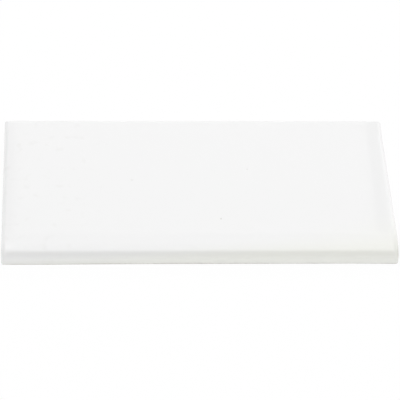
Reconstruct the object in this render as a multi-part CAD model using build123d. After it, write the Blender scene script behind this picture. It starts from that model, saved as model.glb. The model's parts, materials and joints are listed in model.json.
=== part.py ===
from build123d import *

import os
from math import floor

# Bullnose wall tile: one pressed, glazed and fired ceramic piece, lying on its back.
# X runs along the rounded edge, -Y is the rounded edge and +Z is the glazed face.
# The origin is at the middle of the box's underside. Millimetres.

# Overall size of the tile
length = 152.0  # along the rounded edge, nominally 6 in
width = 76.0  # from the rounded edge to the straight back edge, nominally 3 in
thickness = 8.0  # glazed face to bedding face

# The bullnose along the front edge: a quarter of an ellipse above an upright land
nose_reach = 9.5  # how far back from the front edge the face starts to fall
nose_land = 1.2  # height of the upright band that the nose runs down into

# The edges of the pressed body
edge_radius = 2.0  # rounds the other three face edges and the four upright corners
foot_bevel = 0.5  # takes the sharp arris off the bedding face, all the way round

# The keyed back: a waffle of shallow recesses that the tile adhesive grips
key_size = 9.0  # mouth of one square recess
key_rib = 3.6  # rib left between two recesses
key_depth = 0.6  # depth of a recess
key_draft = 20.0  # lean of a recess's walls from upright, in degrees
key_corner = 1.5  # corner radius of a recess's mouth
key_rim = 5.0  # least width of the flat rim round the waffle


def tile_section():
    """The outline across the tile: bedding face, land, nose, glazed face and back edge."""
    front = -width / 2
    back = width / 2
    nose_height = thickness - nose_land
    with BuildSketch(Plane.YZ) as section:
        with BuildLine():
            Line((front, 0), (front, nose_land))
            EllipticalCenterArc(
                center=(front + nose_reach, nose_land),
                x_radius=nose_reach,
                y_radius=nose_height,
                start_angle=90,
                arc_size=90,
            )
            Polyline((front + nose_reach, thickness), (back, thickness), (back, 0), (front, 0))
        make_face()
    return section.sketch


def pressed_body():
    """The plain body: the section drawn out to length, with its edges rounded and bevelled."""
    blank = extrude(tile_section(), amount=length / 2, both=True)
    end_edges = [
        edge
        for x in (-length / 2, length / 2)
        for edge in blank.edges().filter_by_position(Axis.X, x, x)
        if edge.center().Z > 0
    ]
    back_top = blank.edges().filter_by(Axis.X).group_by(Axis.Y)[-1].sort_by(Axis.Z)[-1]
    rounded = fillet([*end_edges, back_top], edge_radius)
    bedding_face = rounded.faces().sort_by(Axis.Z)[0]
    return chamfer(bedding_face.outer_wire().edges(), foot_bevel)


def key_count(span):
    """How many recesses fit across a span of the bedding face inside its rim."""
    room = span - 2 * foot_bevel - 2 * key_rim
    return floor((room + key_rib) / (key_size + key_rib))


def back_keys():
    """The tapered plugs that leave the waffle of recesses in the back."""
    mouth = Plane.XY * RectangleRounded(key_size, key_size, key_corner)
    plug = extrude(mouth, amount=key_depth, taper=key_draft)
    pitch = key_size + key_rib
    grid = GridLocations(pitch, pitch, key_count(length), key_count(width))
    return [place * plug for place in grid]


def bullnose_tile():
    """The finished tile as one solid."""
    return pressed_body() - back_keys()


os.makedirs("parts", exist_ok=True)
tile = bullnose_tile()
tile.label = "bullnose_tile"
export_step(tile, "parts/bullnose_tile.step")
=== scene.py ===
"""The look of a bullnose wall tile: its glazed and fired surface, and a plain studio round it.

The tile is one mesh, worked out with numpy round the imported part, and one material, in which a
glossy white glaze ends in a wavy line above the bare fired body. Metres throughout.
"""

import json
from math import cos, pi, radians, sin, tan

import bmesh
import bpy
import numpy as np
from bpy.props import FloatProperty, FloatVectorProperty, PointerProperty
from mathutils import Matrix, Vector

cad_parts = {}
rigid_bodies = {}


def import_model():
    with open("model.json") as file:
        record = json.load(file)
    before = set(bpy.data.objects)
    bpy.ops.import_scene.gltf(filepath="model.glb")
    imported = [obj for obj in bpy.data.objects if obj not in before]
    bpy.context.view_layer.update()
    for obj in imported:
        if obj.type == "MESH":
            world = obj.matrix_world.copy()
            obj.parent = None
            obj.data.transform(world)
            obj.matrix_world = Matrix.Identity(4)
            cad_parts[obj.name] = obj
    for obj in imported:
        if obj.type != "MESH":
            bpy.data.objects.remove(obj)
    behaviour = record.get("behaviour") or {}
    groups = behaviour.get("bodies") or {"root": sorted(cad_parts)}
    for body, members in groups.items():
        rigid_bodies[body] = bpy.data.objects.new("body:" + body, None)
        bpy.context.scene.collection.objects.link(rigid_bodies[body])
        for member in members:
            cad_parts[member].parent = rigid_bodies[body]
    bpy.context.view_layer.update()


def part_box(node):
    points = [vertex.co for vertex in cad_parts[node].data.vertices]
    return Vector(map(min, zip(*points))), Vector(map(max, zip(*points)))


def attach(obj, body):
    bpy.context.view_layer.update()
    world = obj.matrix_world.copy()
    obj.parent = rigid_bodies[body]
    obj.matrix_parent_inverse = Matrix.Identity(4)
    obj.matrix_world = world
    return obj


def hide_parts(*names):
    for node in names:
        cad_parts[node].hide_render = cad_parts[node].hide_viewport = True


bl_info = {
    "name": "Bullnose Wall Tile",
    "version": (1, 0, 0),
    "blender": (4, 5, 0),
    "location": "3D View > Sidebar > Tile",
    "description": "Makes a glazed bullnose wall tile and a plain studio to look at it in",
    "category": "Add Mesh",
}

MM = 0.001

for leftover in list(bpy.data.objects):
    bpy.data.objects.remove(leftover)
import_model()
TILE_LOW, TILE_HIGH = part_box("bullnose_tile")
TILE_SIZE = TILE_HIGH - TILE_LOW
DOWN = (0.0, 0.0, -1.0)

# How many stretches each part of the mesh is cut into
CORNER_STEPS = 8  # a quarter turn round a rounded edge
NOSE_STEPS = 22  # the bullnose, from its upright land to the face
KEY_STEPS = 12  # one side of a recess in the back
ARC_STEPS = 4  # half of a recess's rounded corner
FOOT_STEPS = 5  # the bevel into the bedding face
RIM_STEPS = 3  # the rim of the bedding face, from the walls in to the recesses


def length(name, description, default):
    """A length in metres that the user may change."""
    return FloatProperty(name=name, description=description, default=default, unit="LENGTH", precision=5)


def share(name, description, default):
    """A number from nought to one that the user may change."""
    return FloatProperty(
        name=name, description=description, default=default, min=0, max=1, subtype="FACTOR"
    )


def colour(name, description, default):
    """A linear colour that the user may change."""
    return FloatVectorProperty(
        name=name, description=description, default=default, size=3, subtype="COLOR"
    )


def angle(name, description, degrees):
    """An angle that the user may change."""
    return FloatProperty(name=name, description=description, default=radians(degrees), subtype="ANGLE")


def brightness(name, description, default):
    """A brightness that the user may change, where 1 is plain white."""
    return FloatProperty(name=name, description=description, default=default, min=0)


class TileSettings(bpy.types.PropertyGroup):
    """Sizes and colours of the tile."""

    nose_reach: length("Nose Reach", "How far back from the front edge the face starts to fall", 9.5 * MM)
    nose_land: length("Nose Land", "Height of the upright band under the nose", 1.2 * MM)
    edge_radius: length("Edge Radius", "Rounds the face's edges at both ends", 2.0 * MM)
    back_radius: length("Back Radius", "Rounds the face's edge at the back", 1.0 * MM)
    corner_radius: length("Corner Radius", "Rounds the four upright corners", 1.0 * MM)
    foot_bevel: length("Foot Bevel", "Softens the edge of the bedding face", 0.5 * MM)
    key_size: length("Key Size", "Mouth of one recess in the back", 9.0 * MM)
    key_rib: length("Key Rib", "Rib between two recesses", 3.6 * MM)
    key_depth: length("Key Depth", "Depth of a recess", 0.6 * MM)
    key_corner: length("Key Corner", "Corner radius of a recess's mouth", 1.5 * MM)
    key_rim: length("Key Rim", "Least width of the flat rim round the recesses", 5.0 * MM)
    key_draft: angle("Key Draft", "Lean of a recess's walls from upright", 20)
    glaze_thickness: length("Glaze Thickness", "How far the glaze stands proud of the bare body", 0.14 * MM)
    glaze_unevenness: length("Glaze Unevenness", "How far its long low waves rise and fall", 0.006 * MM)
    glaze_slump: length("Glaze Slump", "How far the glaze falls away towards the ends", 0.19 * MM)
    slump_reach: length("Slump Reach", "How long the stretch is over which it falls away", 6.0 * MM)
    glaze_colour: colour("Glaze", "Colour of the glaze on the face", (0.885, 0.885, 0.885))
    # Painted light: the glaze is lighter low on the walls and the front, as if lit from the floor; the same
    # tone also comes in cloudy patches
    low_light_and_cloud_colour: colour("Pooled Glaze", "Colour of the glaze that ran to the foot", (0.906, 0.907, 0.905))
    # Painted shade: the glaze is darker over the bend of the nose
    bend_shade_colour: colour("Thin Glaze", "Colour of the glaze where it thins over a bend", (0.845, 0.845, 0.84))
    tinge_colour: colour("Tinge", "Filter over the glaze that pooled thickest", (0.996, 1.0, 0.952))
    # Painted shade: this colour darkens the pinholes, the dimples and the right end's edge over the bend
    painted_shade_colour: colour("Film", "Colour of the glaze where it is a mere film", (0.62, 0.61, 0.58))
    body_colour: colour("Body", "Colour of the bare fired body", (0.785, 0.77, 0.73))
    mottle_colour: colour("Mottle", "Colour of the body's cloudy patches", (0.62, 0.55, 0.45))
    speck_colour: colour("Specks", "Colour of the body's fine specks", (0.35, 0.28, 0.22))
    wash_colour: colour("Wash", "Colour of the powdery kiln wash on the back", (0.86, 0.845, 0.81))
    gloss: share("Glaze Roughness", "Roughness of the glaze", 0.06)
    bite: share("Body Roughness", "Roughness of the bare body", 0.85)


class StudioSettings(bpy.types.PropertyGroup):
    """The floor, the room, the scrim, the lamps and the camera."""

    floor_size: length("Floor Size", "Side of the square floor", 8.0)
    floor_colour: colour("Floor Colour", "Colour of the floor", (0.95, 0.95, 0.95))
    floor_whiteness: share("Floor Whiteness", "How far the floor shows plain white instead", 0.95)
    scrim_distance: length("Scrim Distance", "From the tile to the bright scrim that arches over it", 1.1)
    scrim_width: length("Scrim Width", "Width of the scrim, left to right", 0.72)
    scrim_start: angle("Scrim Start", "Where the scrim's near edge hangs, above the camera's horizon", 47)
    scrim_end: angle("Scrim End", "Where its far edge hangs, counted over the top", 135)
    scrim_level: brightness("Scrim Level", "Brightness of its brightest strip", 2.26)
    room_level: brightness("Room Level", "Brightness of the white room", 0.765)
    side_level: brightness("Side Level", "Brightness of the side lamp's face", 0.5)
    glint_level: brightness("Glint Level", "Brightness of the panel that glints", 1.8)
    back_level: brightness("Back Level", "Brightness of the small lamp behind", 14.0)
    eye: FloatVectorProperty(
        name="Camera Place",
        description="Where the camera stands",
        default=(-49.77 * MM, -676.71 * MM, 611.76 * MM),
        size=3,
        subtype="TRANSLATION",
    )
    pitch: angle("Pitch", "How far down the camera looks", 42.087)
    yaw: angle("Yaw", "How far to the right the camera looks", 4.3225)
    roll: angle("Roll", "How far the camera is tipped", 2.85)
    lens: FloatProperty(
        name="Lens", description="Focal length on a 36 mm sensor", default=208.7, unit="CAMERA"
    )


class Wire:
    """One output of a shader node, which takes part in Python sums.

    Each sum, difference or product adds a Math node.
    """

    def __init__(self, shader, socket):
        self.shader = shader
        self.socket = socket

    def sum(self, operation, first, second):
        return self.shader.node("ShaderNodeMath", {"operation": operation}, {0: first, 1: second})[0]

    def __add__(self, other):
        return self.sum("ADD", self, other)

    def __radd__(self, other):
        return self.sum("ADD", other, self)

    def __sub__(self, other):
        return self.sum("SUBTRACT", self, other)

    def __rsub__(self, other):
        return self.sum("SUBTRACT", other, self)

    def __mul__(self, other):
        return self.sum("MULTIPLY", self, other)

    def __rmul__(self, other):
        return self.sum("MULTIPLY", other, self)


class Shader:
    """A node tree that is written as Python expressions."""

    def __init__(self, owner):
        owner.use_nodes = True
        self.tree = owner.node_tree
        self.tree.nodes.clear()

    def node(self, kind, settings=None, inputs=None):
        """Adds a node, sets it up, feeds its sockets with values or wires, and returns its outputs."""
        made = self.tree.nodes.new(kind)
        for name, value in (settings or {}).items():
            if name == "stops":
                self.set_stops(made.color_ramp, value)
            else:
                setattr(made, name, value)
        for name, value in (inputs or {}).items():
            socket = self.pick(made.inputs, name)
            if isinstance(value, Wire):
                self.tree.links.new(value.socket, socket)
            elif socket.type == "RGBA" and len(value) == 3:
                socket.default_value = (*value, 1)
            else:
                socket.default_value = value
        return Outputs(self, made)

    @staticmethod
    def pick(sockets, name):
        """The socket of that number, or the enabled one of that name."""
        if isinstance(name, int):
            return sockets[name]
        return next(s for s in sockets if s.name == name and s.enabled)

    @staticmethod
    def set_stops(ramp, stops):
        """Gives a colour ramp these stops, each a place and a grey level."""
        while len(ramp.elements) > 1:
            ramp.elements.remove(ramp.elements[-1])
        for number, (place, grey) in enumerate(stops):
            stop = ramp.elements[0] if number == 0 else ramp.elements.new(place)
            stop.position = place
            stop.color = (grey, grey, grey, 1)

    def noise(self, place, size, detail=2.0, roughness=0.5):
        """Cloudy noise, about 0 to 1, whose lumps are about that size in metres."""
        inputs = {"Vector": place, "Scale": 1 / size, "Detail": detail, "Roughness": roughness}
        return self.node("ShaderNodeTexNoise", None, inputs)["Fac"]

    def step(self, value, low, high):
        """0 where the value is under low, 1 where it is over high, and smooth between."""
        inputs = {"Value": value, "From Min": low, "From Max": high}
        return self.node("ShaderNodeMapRange", {"interpolation_type": "SMOOTHSTEP"}, inputs)["Result"]

    def blend(self, factor, first, second, way="MIX"):
        """The first colour where the factor is 0, and the second, or their product, where it is 1."""
        inputs = {"Factor": factor, "A": first, "B": second}
        return self.node("ShaderNodeMix", {"data_type": "RGBA", "blend_type": way}, inputs)["Result"]

    def distance(self, place, centre):
        """How far each point is from a centre."""
        return self.node("ShaderNodeVectorMath", {"operation": "DISTANCE"}, {0: place, 1: centre})["Value"]


class Outputs:
    """A node's outputs, as wires by name or number."""

    def __init__(self, shader, node):
        self.shader = shader
        self.node = node

    def __getitem__(self, name):
        return Wire(self.shader, Shader.pick(self.node.outputs, name))


class Patch:
    """A grid of surface points with their outward directions and how much glaze covers each."""

    def __init__(self, points, normals, cover):
        self.points = np.stack(np.broadcast_arrays(*points), -1)
        self.normals = np.broadcast_to(np.stack(np.broadcast_arrays(*normals), -1), self.points.shape)
        self.cover = np.broadcast_to(cover, self.points.shape[:-1])


def grid_faces(rows, columns):
    """Quads of a grid of rows by columns points, which are numbered row after row."""
    corner = np.arange(rows - 1)[:, None] * columns + np.arange(columns - 1)
    return np.stack([corner, corner + 1, corner + columns + 1, corner + columns], -1).reshape(-1, 4)


def key_pitch(tile):
    """From one recess of the back to the next."""
    return tile.key_size + tile.key_rib


def key_counts(tile):
    """How many recesses lie along and across the back."""
    rim = 2 * (tile.foot_bevel + tile.key_rim) - tile.key_rib
    return int((TILE_SIZE.x - rim) / key_pitch(tile)), int((TILE_SIZE.y - rim) / key_pitch(tile))


def face_steps(tile):
    """Stretches across the flat face, so that an end has as many as the recesses beside it."""
    return KEY_STEPS * key_counts(tile)[1] - NOSE_STEPS - CORNER_STEPS


def face_path(tile):
    """The section from the front land over the nose and the face to the top of the back wall.

    It is a quarter of an ellipse, a straight line and a quarter of a circle, given as y, z and the
    outward direction at each point.
    """
    front, back, top = TILE_LOW.y, TILE_HIGH.y, TILE_HIGH.z
    rise = top - tile.nose_land
    swing = np.linspace(0, pi / 2, NOSE_STEPS + 1)
    nose_y = front + tile.nose_reach * (1 - np.cos(swing))
    nose_z = tile.nose_land + rise * np.sin(swing)
    steep = np.hypot(np.cos(swing) / tile.nose_reach, np.sin(swing) / rise)
    flat = np.linspace(nose_y[-1], back - tile.back_radius, face_steps(tile) + 1)[1:]
    turn = np.linspace(0, pi / 2, CORNER_STEPS + 1)[1:]
    y = np.concatenate([nose_y, flat, back - tile.back_radius * (1 - np.sin(turn))])
    z = np.concatenate([nose_z, np.full_like(flat, top), top - tile.back_radius * (1 - np.cos(turn))])
    out_y = np.concatenate([-np.cos(swing) / tile.nose_reach / steep, np.zeros_like(flat), np.sin(turn)])
    out_z = np.concatenate([np.sin(swing) / rise / steep, np.ones_like(flat), np.cos(turn)])
    return y, z, out_y, out_z


def column_path(tile):
    """The columns of points from end to end: where each stands, and how far it has turned.

    Those of the straight run stand evenly along x and haven't turned. The others stand at the run's
    two ends, and turn in even steps through a quarter circle round an end's corner.
    """
    end = TILE_SIZE.x / 2 - tile.edge_radius
    quarter = np.linspace(0, pi / 2, CORNER_STEPS + 1)[1:]
    run = np.linspace(-end, end, KEY_STEPS * key_counts(tile)[0] + 1)
    base = np.concatenate([np.full_like(quarter, -end), run, np.full_like(quarter, end)])
    turned = np.concatenate([-quarter[::-1], np.zeros_like(run), quarter])
    return base, turned


def across(tile, base, turned, radius, setback=0.0):
    """Places along x of columns that turn on a radius, set back from the surface.

    Each is where the column stands, moved out by what the edge radius has more than the radius, plus
    the radius less the setback times the sine of its turn.
    """
    return base + np.sign(turned) * (tile.edge_radius - radius) + (radius - setback) * np.sin(turned)


# How far from the rounded back edge the radius of the ends starts to narrow
NARROWING = 6 * MM


def end_radius(tile, y, out_z):
    """The radius of the turn into an end wall, from the corner radius to the edge radius.

    It grows by how far the surface faces up, and narrows again over a short way to the back edge.
    """
    room = np.clip((TILE_HIGH.y - tile.back_radius - y) / NARROWING, 0, 1)
    return tile.corner_radius + (tile.edge_radius - tile.corner_radius) * out_z * room


def glazed_face(tile):
    """The nose, the face and the rounded edges round it, as one grid.

    Each section is the face path drawn in along its own outward direction by the end radius times
    one minus the cosine of the column's turn.
    """
    y, z, out_y, out_z = (row[:, None] for row in face_path(tile))
    base, turned = column_path(tile)
    radius = end_radius(tile, y, out_z)
    drawn_in = radius * (1 - np.cos(turned))
    points = across(tile, base, turned, radius), y - drawn_in * out_y, z - drawn_in * out_z
    normals = np.sin(turned), out_y * np.cos(turned), out_z * np.cos(turned)
    return Patch(points, normals, 1.0)


# Depth of the stretch behind the front edge whose glaze line and bevel differ from the other sides'
FRONT_DEPTH = 8 * MM


def by_the_front(y):
    """1 at the front edge, falling evenly to 0 where the front's stretch ends."""
    return np.clip((TILE_LOW.y - y) / FRONT_DEPTH + 1, 0, 1)


# The line where the glaze ends: its height and how far it rises by the middle of the front, as
# shares of the wall's height, and its waves, each a length, heading, phase and height
LINE_HEIGHT = 0.42
FRONT_RISE = 0.2
LINE_WAVES = (
    (31 * MM, radians(40), 0.3, 0.06),
    (17 * MM, radians(52), 1.9, 0.09),
    (9.5 * MM, radians(35), 4.1, 0.05),
    (6.1 * MM, radians(60), 2.2, 0.03),
)


def glaze_line(x, y):
    """Where the glaze ends on the walls, as a share of their height: a low wavy line.

    It is a constant and sines of the place, each along its own heading across the tile. Along the
    front it also rises in the middle and sinks towards both ends, by the cosine of the place.
    """
    line = LINE_HEIGHT + FRONT_RISE * by_the_front(y) * np.cos(2 * pi * x / TILE_SIZE.x)
    for wave, heading, phase, height in LINE_WAVES:
        way = x * cos(heading) + y * sin(heading)
        line = line + height * np.sin(2 * pi * way / wave + phase)
    return np.maximum(line, 0)


# Where along the front the bevel of the foot starts to fade and where it is gone, left and right
BEVEL_FADES = ((-19 * MM, -57 * MM), (57 * MM, 76 * MM))


def foot_bevel(tile, x, y):
    """The bevel into the bedding face, which fades to the glaze's thickness at the front corners.

    The fade is the share of the way from where it starts to where it ends, times the nearness of the
    front.
    """
    past = [np.clip((x - start) / (end - start), 0, 1) for start, end in BEVEL_FADES]
    fade = np.maximum(*past) * by_the_front(y)
    return tile.foot_bevel + (tile.glaze_thickness - tile.foot_bevel) * fade


# Rows of the glazed wall above the lip, as shares of the way up to its top
WALL_PARTS = (1.0, 0.6, 0.25)

# The lip's height, and its roll from the top down: height and setback as shares of the lip's height
# and the glaze's thickness, and 1 for glaze or 0 for bare body
LIP_HEIGHT = 0.09 * MM
LIP_ROLL = ((1.0, 0.0, 1), (0.55, 0.02, 1), (0.2, 0.2, 1), (0.0, 0.6, 1), (-0.08, 1.0, 0), (-0.3, 1.0, 0))

# How far inside the bevel the walls meet the rim of the bedding face
FOOT_INSET = 0.2 * MM


def wall_rows(tile, x, y, top):
    """Heights, setbacks and glaze cover down a wall whose top edge is at that height.

    From the top come the glaze, its rolled lip, the bare body set back by the glaze's thickness, and
    a quarter ellipse into the bedding face, which the lip may overhang. The glaze ends at least two
    heights of its lip above the bedding face and one under the top.
    """
    bevel = foot_bevel(tile, x, y)
    proud = tile.glaze_thickness
    lip = LIP_HEIGHT
    edge = 2 * lip + glaze_line(x, y) * (top - 3 * lip)
    foot = np.minimum(bevel, edge - 0.5 * lip)
    swing = np.linspace(0, pi / 2, FOOT_STEPS + 1)
    rows = [(edge + lip + (top - edge - lip) * part, 0.0, 1) for part in WALL_PARTS]
    rows += [(edge + lip * rise, proud * setback, cover) for rise, setback, cover in LIP_ROLL]
    rows += [(foot * (1 - sin(a)), proud + (bevel - proud) * (1 - cos(a)), 0) for a in swing]
    rows += [(0.0, tile.foot_bevel + FOOT_INSET, 0)]
    height, setback = (np.stack([np.broadcast_to(row[i], x.shape) for row in rows]) for i in (0, 1))
    cover = np.array([row[2] for row in rows], float)[:, None]
    return height, setback, cover


def long_walls(tile):
    """The front land and the back wall, each with its two upright corners.

    At a corner the columns stand on a quarter circle of the corner radius less the setback.
    """
    base, turned = column_path(tile)
    radius = tile.corner_radius
    tops = {-1: tile.nose_land, 1: TILE_SIZE.z - tile.back_radius}
    for side, top in tops.items():
        centre = side * (TILE_SIZE.y / 2 - radius)
        x = across(tile, base, turned, radius)
        y = centre + side * radius * np.cos(turned)
        height, setback, cover = wall_rows(tile, x, y, top)
        x = across(tile, base, turned, radius, setback)
        y = centre + side * (radius - setback) * np.cos(turned)
        yield Patch((x, y, height), (np.sin(turned), side * np.cos(turned), 0.0), cover)


def end_walls(tile):
    """The two flat ends: walls that rise to the face path drawn in by the end radius."""
    y, z, out_y, out_z = face_path(tile)
    radius = end_radius(tile, y, out_z)
    y = y - radius * out_y
    top = z - radius * out_z
    for side in (-1, 1):
        x = np.full_like(y, side * TILE_SIZE.x / 2)
        height, setback, cover = wall_rows(tile, x, y, top)
        yield Patch((x - side * setback, y, height), (side, 0.0, 0.0), cover)


def back_rim(tile):
    """The flat rim of the bedding face, from the foot of the walls in to the recesses.

    Each side is a ruled strip between its foot and the border of the recesses. The upright corners
    narrow to the border's own corners.
    """
    half_x, half_y = (count * key_pitch(tile) / 2 for count in key_counts(tile))
    inset = tile.foot_bevel + FOOT_INSET
    base, turned = column_path(tile)
    radius = tile.corner_radius
    part = np.linspace(0, 1, RIM_STEPS + 1)[:, None]
    inner = base / (TILE_SIZE.x / 2 - tile.edge_radius) * half_x
    outer = across(tile, base, turned, radius, inset)
    for side in (-1, 1):
        foot = side * (TILE_SIZE.y / 2 - radius + (radius - inset) * np.cos(turned))
        points = outer + (inner - outer) * part, foot + (side * half_y - foot) * part, 0.0
        yield Patch(points, DOWN, 0.0)
    y, _, out_y, out_z = face_path(tile)
    foot = y - end_radius(tile, y, out_z) * out_y
    border = np.linspace(-half_y, half_y, len(foot))
    for side in (-1, 1):
        edge = side * (TILE_SIZE.x / 2 - inset)
        points = edge + (side * half_x - edge) * part, foot + (border - foot) * part, 0.0
        yield Patch(points, DOWN, 0.0)


def square_round():
    """A square walked once round, as shares of its half side, with evenly spaced points."""
    side = np.linspace(-1, 1, KEY_STEPS + 1)[:-1]
    still = np.ones_like(side)
    x = np.concatenate([side, still, -side, -still, [-1]])
    y = np.concatenate([-still, side, still, -side, [-1]])
    return x, y


def rounded_square_round():
    """A rounded square walked once round: the place on its core and the direction of its corner.

    A point of the square with a given half side and corner radius is the core's place times the
    half side less the radius, plus the direction times the radius.
    """
    flat = KEY_STEPS // 2 - ARC_STEPS
    along = np.concatenate([-np.ones(ARC_STEPS), np.linspace(-1, 1, 2 * flat + 1), np.ones(ARC_STEPS)])
    lean = np.linspace(-pi / 4, 0, ARC_STEPS + 1)
    tilt = np.concatenate([lean, np.zeros(2 * flat - 1), -lean[::-1]])
    core = along[:-1], -np.ones(KEY_STEPS)
    out = np.sin(tilt)[:-1], -np.cos(tilt)[:-1]
    walk = []
    for x, y in (core, out):
        walk.append(np.concatenate([x, -y, -x, y, x[:1]]))
        walk.append(np.concatenate([y, x, -y, -x, y[:1]]))
    return walk


# Rings of a recess: how far outside the mouth each lies, and its depth as a share of the recess's
BRIM_RINGS = ((0.30 * MM, 0.0), (0.13 * MM, 0.03), (0.02 * MM, 0.16))

# The same further down, but how far inside the mouth, as a multiple of the wall's own lean
WALL_RINGS = ((0.3, 0.36), (0.8, 0.7), (1.2, 0.9), (2.2, 1.0))

FLOOR_RING = 0.45  # how far inside the mouth the last ring lies, as a share of the mouth's half side
LEAST_CORNER = 0.2 * MM  # the corner radius of a ring is never less


def back_keys(tile):
    """The recesses of the keyed back, each a nest of rings from its border to its middle.

    The border is a square of one pitch, the rings are rounded squares, and the middle is a point.
    """
    pitch = key_pitch(tile)
    places = [(np.arange(count) - (count - 1) / 2) * pitch for count in key_counts(tile)]
    half = tile.key_size / 2
    depth = tile.key_depth
    lean = depth * tan(tile.key_draft)
    square_x, square_y = square_round()
    core_x, core_y, out_x, out_y = rounded_square_round()
    still = np.zeros_like(core_x)
    rings = [(outside, depth * part) for outside, part in BRIM_RINGS]
    rings += [(-lean * leans, depth * part) for leans, part in WALL_RINGS]
    rings += [(-half * FLOOR_RING, depth)]
    x, y, z = [pitch / 2 * square_x], [pitch / 2 * square_y], [still]
    for grown, height in rings:
        radius = max(tile.key_corner + grown, LEAST_CORNER)
        x.append((half + grown - radius) * core_x + radius * out_x)
        y.append((half + grown - radius) * core_y + radius * out_y)
        z.append(still + height)
    x, y, z = np.stack([*x, still]), np.stack([*y, still]), np.stack([*z, still + depth])
    for place_x in places[0]:
        for place_y in places[1]:
            yield Patch((place_x + x, place_y + y, z), DOWN, 0.0)


# Lengths of the long low waves in the glaze, and the seed that draws their headings and phases
LONG_WAVES = (31 * MM, 24 * MM, 17 * MM, 12.5 * MM, 9 * MM, 6.5 * MM)
WAVE_SEED = 7


def glaze_fall(tile, points):
    """How far the glaze lies under the plain form: long low waves, and a slump near the ends.

    The waves are the mean of sines that cross the face in drawn directions, lifted to stay above
    nought. The slump is the square of the share of the way out to an end, times the fourth power of
    the height as a share of the tile's.
    """
    x, y, z = np.moveaxis(points, -1, 0)
    draw = np.random.default_rng(WAVE_SEED)
    waves = 0
    for wave in LONG_WAVES:
        heading, phase = draw.uniform(0, 2 * pi, 2)
        way = x * cos(heading) + (y + z) * sin(heading)
        waves = waves + (1 + np.sin(2 * pi * way / wave + phase)) / len(LONG_WAVES)
    reach = tile.slump_reach
    out = np.clip((np.abs(x) - TILE_SIZE.x / 2 + reach + tile.edge_radius) / reach, 0, 1)
    on_top = np.clip(z / TILE_SIZE.z, 0, 1) ** 4
    return tile.glaze_unevenness * waves + tile.glaze_slump * out**2 * on_top


def tile_mesh(tile):
    """One mesh from all the patches, with the glaze's cover as an attribute of its points.

    Each point is moved in against its outward direction by the glaze's fall times its cover.
    """
    patches = [glazed_face(tile), *long_walls(tile), *end_walls(tile), *back_rim(tile), *back_keys(tile)]
    points, covers, faces, first = [], [], [], 0
    for patch in patches:
        fall = glaze_fall(tile, patch.points) * patch.cover
        points.append((patch.points - patch.normals * fall[..., None]).reshape(-1, 3))
        covers.append(patch.cover.reshape(-1))
        faces.append(grid_faces(*patch.cover.shape) + first)
        first += patch.cover.size
    mesh = bpy.data.meshes.new("glazed_tile")
    mesh.from_pydata(np.concatenate(points).tolist(), [], np.concatenate(faces).tolist())
    cover = mesh.attributes.new("glaze", "FLOAT", "POINT")
    cover.data.foreach_set("value", np.concatenate(covers).astype(np.float32))
    return mesh


# Points of neighbouring patches that lie nearer than this are the same point
SEAM_WIDTH = 0.002 * MM


def sew(mesh):
    """Closes the seams between patches, turns every face outwards and smooths the shading."""
    work = bmesh.new()
    work.from_mesh(mesh)
    bmesh.ops.remove_doubles(work, verts=work.verts, dist=SEAM_WIDTH)
    bmesh.ops.recalc_face_normals(work, faces=work.faces)
    open_edges = [edge for edge in work.edges if len(edge.link_faces) != 2]
    work.to_mesh(mesh)
    work.free()
    if open_edges:
        raise RuntimeError(f"the tile's mesh has {len(open_edges)} open edges")
    mesh.polygons.foreach_set("use_smooth", np.ones(len(mesh.polygons), bool))
    mesh.update()


# Pinholes in the glaze: place on the face, radius and depth as a share
PINHOLES = (
    ((8.25 * MM, -20.9 * MM, 8.0 * MM), 0.5 * MM, 0.62),
    ((20.0 * MM, 7.9 * MM, 8.0 * MM), 0.42 * MM, 0.4),
    ((-25.6 * MM, 1.6 * MM, 8.0 * MM), 0.8 * MM, 0.2),
)
PINHOLE_FLOOR = 0.3  # radius of a pinhole's flat middle, as a share of its own


def pinholes(shader, place):
    """The depth in the middle of each pinhole and 0 away from them."""
    pits = 0
    for centre, radius, depth in PINHOLES:
        away = shader.step(shader.distance(place, centre), PINHOLE_FLOOR * radius, radius)
        pits = pits + (1 - away) * depth
    return pits


# The soft dimples: their size, between which places along x they thin out, between which values of
# the noise one sinks in, and how much higher those values are where they have thinned out
DIMPLE_SIZE = 3.6 * MM
DIMPLES_THIN = (-52 * MM, -24 * MM)
DIMPLE_LIMITS = (0.6, 0.8)
DIMPLE_RAISE = 0.16


def dimples(shader, place, x):
    """1 in the middle of the soft dimples in the glaze, which are many only near the left end.

    They are the peaks of a small cloudy noise over a limit, which rises away from that end.
    """
    away = shader.step(x, *DIMPLES_THIN)
    lumps = shader.noise(place, DIMPLE_SIZE, detail=0.6)
    return shader.step(lumps - DIMPLE_RAISE * away, *DIMPLE_LIMITS)


# Between which heights above the bedding face, or places along x, a look comes in or goes
LOW_LIGHT_ENDS = (3.0 * MM, 8.6 * MM)  # the painted light from the floor, low on the glaze, upwards
TINGE_ENDS = (2.0 * MM, 8.5 * MM)  # its tinge, upwards
BEND_STARTS = (1.6 * MM, 4.2 * MM)  # the painted shade over the bend of the nose, upwards
BEND_ENDS = (4.6 * MM, 6.2 * MM)
ARRIS_SHADE_STARTS = (74.6 * MM, 75.8 * MM)  # the painted shade over the right end's edge, along x
WASH_ENDS = (0.1 * MM, 0.5 * MM)  # the kiln wash, upwards

# How much lower the tinge ends for each metre further back, and how much higher to the right
TINGE_BACK = 0.2
TINGE_RIGHT = 0.06

# Between which values of its attribute, or of its noise, each of these comes in
COVER_LIMITS = (0.35, 0.65)
MOTTLE_LIMITS = (0.35, 0.75)
SPECK_LIMITS = (0.72, 0.8)
WASH_LIMITS = (0.52, 0.74)

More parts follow.
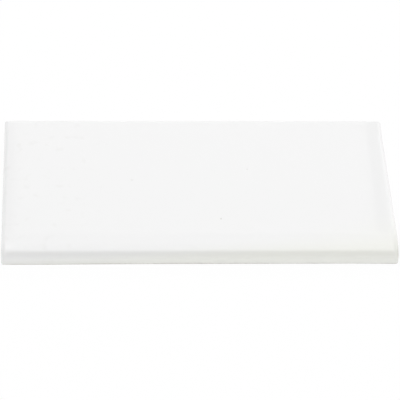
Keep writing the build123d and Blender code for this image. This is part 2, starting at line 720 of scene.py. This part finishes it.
# How strong each look is where it is whole, the painted light and shade among them, and how much the grain
# counts where the wash lies
LOW_LIGHT_SHARE = 0.9
CLOUD_SHARE = 0.06
BEND_SHADE_SHARE = 0.85
ARRIS_SHADE_SHARE = 0.5
DIMPLE_SHADE_SHARE = 0.09
WASH_SHARE = 0.8
WASH_GRAIN = 0.25
MOTTLE_SHARE = 0.18
SPECK_SHARE = 0.35

# How large the lumps of each noise are
CLOUD_SIZE = 9 * MM
PEEL_SIZE = 1.6 * MM
MOTTLE_SIZE = 5 * MM
GRAIN_SIZE = 0.35 * MM
SPECK_SIZE = 0.55 * MM

# How high or deep the finest relief is, which is only shaded
PEEL_HEIGHT = 0.003 * MM
PINHOLE_DEPTH = 0.1 * MM
DIMPLE_DEPTH = 0.03 * MM
GRAIN_HEIGHT = 0.07 * MM
MOTTLE_HEIGHT = 0.05 * MM

# How much rougher the clouds make the glaze and the grain makes the body, and the glaze's index
CLOUD_ROUGHNESS = 0.02
GRAIN_ROUGHNESS = 0.08
GLAZE_IOR = 1.52


def glaze_tone(shader, tile, parts, cloud, pit_shade):
    """The glaze's colour: white on the face, with painted shade over the bend of the nose, and
    lighter below as painted light from the floor, a tone that also comes in cloudy patches.

    It has more painted shade where that bend meets the right end. It is tinged where it pooled
    thickest, which reaches higher up the nose the further right it is. Painted shade darkens the
    pinholes and dimples too.
    """
    height = parts["Z"]
    # Painted light from the floor, lighter towards the foot, plus cloudy patches of the same tone
    low = (1 - shader.step(height, *LOW_LIGHT_ENDS)) * LOW_LIGHT_SHARE + cloud * CLOUD_SHARE
    tone = shader.blend(low, tuple(tile.glaze_colour), tuple(tile.low_light_and_cloud_colour))
    # Painted shade over the bend of the nose
    bend = shader.step(height, *BEND_STARTS) * (1 - shader.step(height, *BEND_ENDS))
    tone = shader.blend(bend * BEND_SHADE_SHARE, tone, tuple(tile.bend_shade_colour))
    # Painted shade along the right end's edge over the bend
    arris_shade = bend * shader.step(parts["X"], *ARRIS_SHADE_STARTS)
    tone = shader.blend(arris_shade * ARRIS_SHADE_SHARE, tone, tuple(tile.painted_shade_colour))
    up = height + (parts["Y"] - TILE_LOW.y) * TINGE_BACK - parts["X"] * TINGE_RIGHT
    thick = 1 - shader.step(up, *TINGE_ENDS)
    tone = shader.blend(thick, tone, tuple(tile.tinge_colour), "MULTIPLY")
    return shader.blend(pit_shade, tone, tuple(tile.painted_shade_colour))


def body_tone(shader, tile, place, height, mottle, grain):
    """The body's colour: pale clay with soft patches, fine specks and a powdery wash on the back."""
    powder = shader.step(mottle + grain * WASH_GRAIN, *WASH_LIMITS)
    wash = powder * (1 - shader.step(height, *WASH_ENDS))
    tone = shader.blend(wash * WASH_SHARE, tuple(tile.body_colour), tuple(tile.wash_colour))
    patches = shader.step(mottle, *MOTTLE_LIMITS)
    tone = shader.blend(patches * MOTTLE_SHARE, tone, tuple(tile.mottle_colour))
    specks = shader.step(shader.noise(place, SPECK_SIZE, detail=1.0), *SPECK_LIMITS)
    return shader.blend(specks * SPECK_SHARE, tone, tuple(tile.speck_colour))


def fired_tile(tile):
    """White glaze over a pale fired body, parted by the mesh's own glaze attribute."""
    material = bpy.data.materials.new("fired_tile")
    shader = Shader(material)
    place = shader.node("ShaderNodeTexCoord")["Object"]
    parts = shader.node("ShaderNodeSeparateXYZ", None, {"Vector": place})
    cover = shader.node("ShaderNodeAttribute", {"attribute_name": "glaze"})["Fac"]
    glazed = shader.step(cover, *COVER_LIMITS)
    bare = 1 - glazed

    cloud = shader.noise(place, CLOUD_SIZE)
    peel = shader.noise(place, PEEL_SIZE, detail=1.5)
    pits = pinholes(shader, place)
    dents = dimples(shader, place, parts["X"])
    # The pinholes and dimples get painted shade in the glaze's colour, besides their relief
    glaze = glaze_tone(shader, tile, parts, cloud, pits + dents * DIMPLE_SHADE_SHARE)
    glaze_relief = peel * PEEL_HEIGHT - pits * PINHOLE_DEPTH - dents * DIMPLE_DEPTH
    glaze_roughness = tile.gloss + CLOUD_ROUGHNESS * cloud

    mottle = shader.noise(place, MOTTLE_SIZE, detail=4.0, roughness=0.6)
    grain = shader.noise(place, GRAIN_SIZE, detail=3.0, roughness=0.6)
    body = body_tone(shader, tile, place, parts["Z"], mottle, grain)
    body_relief = grain * GRAIN_HEIGHT + mottle * MOTTLE_HEIGHT
    body_roughness = tile.bite + GRAIN_ROUGHNESS * grain

    relief = glazed * glaze_relief + bare * body_relief
    bump = shader.node("ShaderNodeBump", None, {"Strength": 1.0, "Distance": 1.0, "Height": relief})
    inputs = {
        "Base Color": shader.blend(glazed, body, glaze),
        "Roughness": glazed * glaze_roughness + bare * body_roughness,
        "IOR": GLAZE_IOR,
        "Normal": bump["Normal"],
    }
    surface = shader.node("ShaderNodeBsdfPrincipled", None, inputs)
    shader.node("ShaderNodeOutputMaterial", None, {"Surface": surface["BSDF"]})
    return material


def seen_directly(shader):
    """1 for what the camera sees, directly or in gloss or glass, and 0 for light that falls on things."""
    path = shader.node("ShaderNodeLightPath")
    either = path["Is Camera Ray"] + path["Is Glossy Ray"] + path["Is Transmission Ray"]
    return shader.step(either, 0.0, 1.0)


def floor_paper(studio):
    """White paper, which is seen a little whiter than the light on it makes it."""
    material = bpy.data.materials.new("floor_paper")
    shader = Shader(material)
    tone = tuple(studio.floor_colour)
    paper = shader.node("ShaderNodeBsdfDiffuse", None, {"Color": tone})["BSDF"]
    white = shader.node("ShaderNodeEmission", None, {"Color": (1, 1, 1), "Strength": 1.0})["Emission"]
    inputs = {0: seen_directly(shader) * studio.floor_whiteness, 1: paper, 2: white}
    mixed = shader.node("ShaderNodeMixShader", None, inputs)["Shader"]
    shader.node("ShaderNodeOutputMaterial", None, {"Surface": mixed})
    return material


def screen_cloth(name, grey):
    """Dull cloth of one grey, for a screen round the tile."""
    material = bpy.data.materials.new(name)
    shader = Shader(material)
    cloth = shader.node("ShaderNodeBsdfDiffuse", None, {"Color": (grey, grey, grey)})["BSDF"]
    shader.node("ShaderNodeOutputMaterial", None, {"Surface": cloth})
    return material


# Brightness of the scrim, as a share of its brightest strip's, from its far edge at 0 to its near
# edge at 1
SCRIM_STOPS = (
    (0.0, 0.34),
    (0.19, 0.4),
    (0.43, 0.75),
    (0.6, 0.95),
    (0.74, 0.93),
    (0.875, 1.0),
    (0.943, 0.72),
    (1.0, 0.25),
)


def lit_scrim(studio):
    """Cloth lit from behind, brightest near the camera and darker towards both its edges."""
    material = bpy.data.materials.new("lit_scrim")
    shader = Shader(material)
    nearness = shader.node("ShaderNodeAttribute", {"attribute_name": "nearness"})["Fac"]
    glow = shader.node("ShaderNodeValToRGB", {"stops": SCRIM_STOPS}, {"Fac": nearness})["Color"]
    inputs = {"Color": glow, "Strength": studio.scrim_level}
    light = shader.node("ShaderNodeEmission", None, inputs)["Emission"]
    shader.node("ShaderNodeOutputMaterial", None, {"Surface": light})
    return material


def stage_object(name, points, material):
    """A grid of points as an object of the stage."""
    mesh = bpy.data.meshes.new(name)
    mesh.from_pydata(points.reshape(-1, 3).tolist(), [], grid_faces(*points.shape[:-1]).tolist())
    mesh.materials.append(material)
    made = bpy.data.objects.new(name, mesh)
    bpy.context.scene.collection.objects.link(made)
    return made


def unseen(made):
    """Hides a thing of the studio from the camera, so that only its light and reflection show."""
    made.visible_camera = False
    return made


def add_floor(studio):
    """A flat square of paper under the tile."""
    side = np.linspace(-studio.floor_size / 2, studio.floor_size / 2, 3)
    points = np.stack(np.broadcast_arrays(side, side[:, None], 0.0), -1)
    stage_object("floor", points, floor_paper(studio))


# The dark screens: how far they reach to the left and right, and from how low to how high, as angles
# seen from the tile, where 0 looks away from the camera and 180 looks towards it, and their greys
SCREENS = (
    ("screen_by_the_camera", (162, 198), (16, 47), 0.03),
    ("screen_at_the_left", (-46, -10), (4, 46), 0.25),
    ("screen_at_the_right", (14.5, 20), (20, 46), 0.22),
)
SCREEN_NEARNESS = 0.95  # distance of the screens, as a share of the scrim's
SCREEN_STEPS = (24, 4)  # stretches round and up a screen


def add_screens(studio):
    """Dark screens round the tile, which give its white edges their shade.

    Each is a piece of a cylinder round the tile: the sine and cosine of its bearing times the
    screens' distance, and the tangent of its height above the horizon times that distance.
    """
    reach = studio.scrim_distance * SCREEN_NEARNESS
    for name, sides, heights, grey in SCREENS:
        bearing = np.radians(np.linspace(*sides, SCREEN_STEPS[0] + 1))
        height = np.tan(np.radians(np.linspace(*heights, SCREEN_STEPS[1] + 1)))[:, None]
        points = np.broadcast_arrays(reach * np.sin(bearing), reach * np.cos(bearing), reach * height)
        unseen(stage_object(name, np.stack(points, -1), screen_cloth(name, grey)))


SCRIM_STEPS = (48, 8)  # stretches along the scrim's arch and across it


def add_scrim(studio):
    """A bright scrim that arches over the tile from the camera's side, a piece of a cylinder along x.

    Its points lie at the scrim's distance times minus the cosine and the sine of the angle along the
    arch, along y and z. The share of the way to the near edge is kept as an attribute.
    """
    rows, columns = (steps + 1 for steps in SCRIM_STEPS)
    rise = np.linspace(studio.scrim_end, studio.scrim_start, rows)[:, None]
    x = np.linspace(-0.5, 0.5, columns) * studio.scrim_width
    reach = studio.scrim_distance
    points = np.broadcast_arrays(x, -reach * np.cos(rise), reach * np.sin(rise))
    scrim = unseen(stage_object("scrim", np.stack(points, -1), lit_scrim(studio)))
    nearness = np.repeat(np.linspace(0, 1, rows), columns)
    scrim.data.attributes.new("nearness", "FLOAT", "POINT").data.foreach_set("value", nearness)


# The lamps: where each stands, and how wide and high it is
LAMPS = {
    "side_lamp": ((0.65, 0.79, 0.36), 0.36, 0.5),
    "back_lamp": ((0.0, 0.9, 0.55), 0.34, 0.16),
    "glint_panel": ((-0.24, -0.272, 1.014), 0.2, 0.2),
}


def add_lamp(name, level):
    """A flat lamp whose face has that brightness, turned towards the middle of the tile's foot."""
    place, width, height = LAMPS[name]
    lamp = bpy.data.lights.new(name, "AREA")
    lamp.shape = "RECTANGLE"
    lamp.size = width
    lamp.size_y = height
    lamp.energy = level * pi * width * height
    made = bpy.data.objects.new(name, lamp)
    made.location = place
    made.rotation_euler = (Vector((0, 0, 0)) - Vector(place)).to_track_quat("-Z", "Y").to_euler()
    bpy.context.scene.collection.objects.link(unseen(made))
    return made


def add_room(studio):
    """A plain white room, whose light comes from all round."""
    world = bpy.data.worlds.new("room")
    bpy.context.scene.world = world
    shader = Shader(world)
    inputs = {"Color": (1, 1, 1), "Strength": studio.room_level}
    back = shader.node("ShaderNodeBackground", None, inputs)["Background"]
    shader.node("ShaderNodeOutputWorld", None, {"Surface": back})


SENSOR_WIDTH = 36  # mm


def add_camera(studio):
    """The camera, at the fitted place and turned by its yaw, pitch and roll."""
    lens = bpy.data.cameras.new("camera")
    lens.lens = studio.lens
    lens.sensor_width = SENSOR_WIDTH
    made = bpy.data.objects.new("camera", lens)
    bpy.context.scene.collection.objects.link(made)
    yaw, pitch, roll = studio.yaw, studio.pitch, studio.roll
    forward = Vector((sin(yaw) * cos(pitch), cos(yaw) * cos(pitch), -sin(pitch)))
    level = Vector((cos(yaw), -sin(yaw), 0))
    upright = level.cross(forward)
    right = level * cos(roll) + upright * sin(roll)
    up = upright * cos(roll) - level * sin(roll)
    turned = Matrix((right, up, -forward)).transposed().to_4x4()
    made.matrix_world = Matrix.Translation(Vector(studio.eye)) @ turned
    bpy.context.scene.camera = made


class TILE_OT_glazed_tile(bpy.types.Operator):
    """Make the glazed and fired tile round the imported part"""

    bl_idname = "tile.glazed_tile"
    bl_label = "Glazed Tile"

    def execute(self, context):
        tile = context.scene.bullnose_tile
        mesh = tile_mesh(tile)
        sew(mesh)
        mesh.materials.append(fired_tile(tile))
        made = bpy.data.objects.new("glazed_tile", mesh)
        context.scene.collection.objects.link(made)
        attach(made, "root")
        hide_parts("bullnose_tile")
        return {"FINISHED"}


class TILE_OT_studio(bpy.types.Operator):
    """Make the floor, the room, the scrim, the screens, the lamps and the camera"""

    bl_idname = "tile.studio"
    bl_label = "Studio"

    def execute(self, context):
        studio = context.scene.tile_studio
        add_floor(studio)
        add_room(studio)
        add_scrim(studio)
        add_screens(studio)
        add_lamp("side_lamp", studio.side_level)
        add_lamp("back_lamp", studio.back_level).visible_glossy = False
        add_lamp("glint_panel", studio.glint_level).visible_diffuse = False
        add_camera(studio)
        context.scene.view_settings.view_transform = "Standard"
        return {"FINISHED"}


class TILE_PT_sidebar(bpy.types.Panel):
    """The settings of the tile and of its studio, and a button for each"""

    bl_idname = "TILE_PT_sidebar"
    bl_label = "Bullnose Wall Tile"
    bl_space_type = "VIEW_3D"
    bl_region_type = "UI"
    bl_category = "Tile"

    def draw(self, context):
        for settings, button in (
            (context.scene.bullnose_tile, "tile.glazed_tile"),
            (context.scene.tile_studio, "tile.studio"),
        ):
            for name in settings.__annotations__:
                self.layout.prop(settings, name)
            self.layout.operator(button)


CLASSES = (TileSettings, StudioSettings, TILE_OT_glazed_tile, TILE_OT_studio, TILE_PT_sidebar)


def register():
    for made in CLASSES:
        bpy.utils.register_class(made)
    bpy.types.Scene.bullnose_tile = PointerProperty(type=TileSettings)
    bpy.types.Scene.tile_studio = PointerProperty(type=StudioSettings)


def unregister():
    del bpy.types.Scene.tile_studio
    del bpy.types.Scene.bullnose_tile
    for made in reversed(CLASSES):
        bpy.utils.unregister_class(made)


def main():
    """Registers the classes and makes the tile and its studio."""
    register()
    bpy.ops.tile.glazed_tile()
    bpy.ops.tile.studio()


if __name__ == "__main__":
    main()
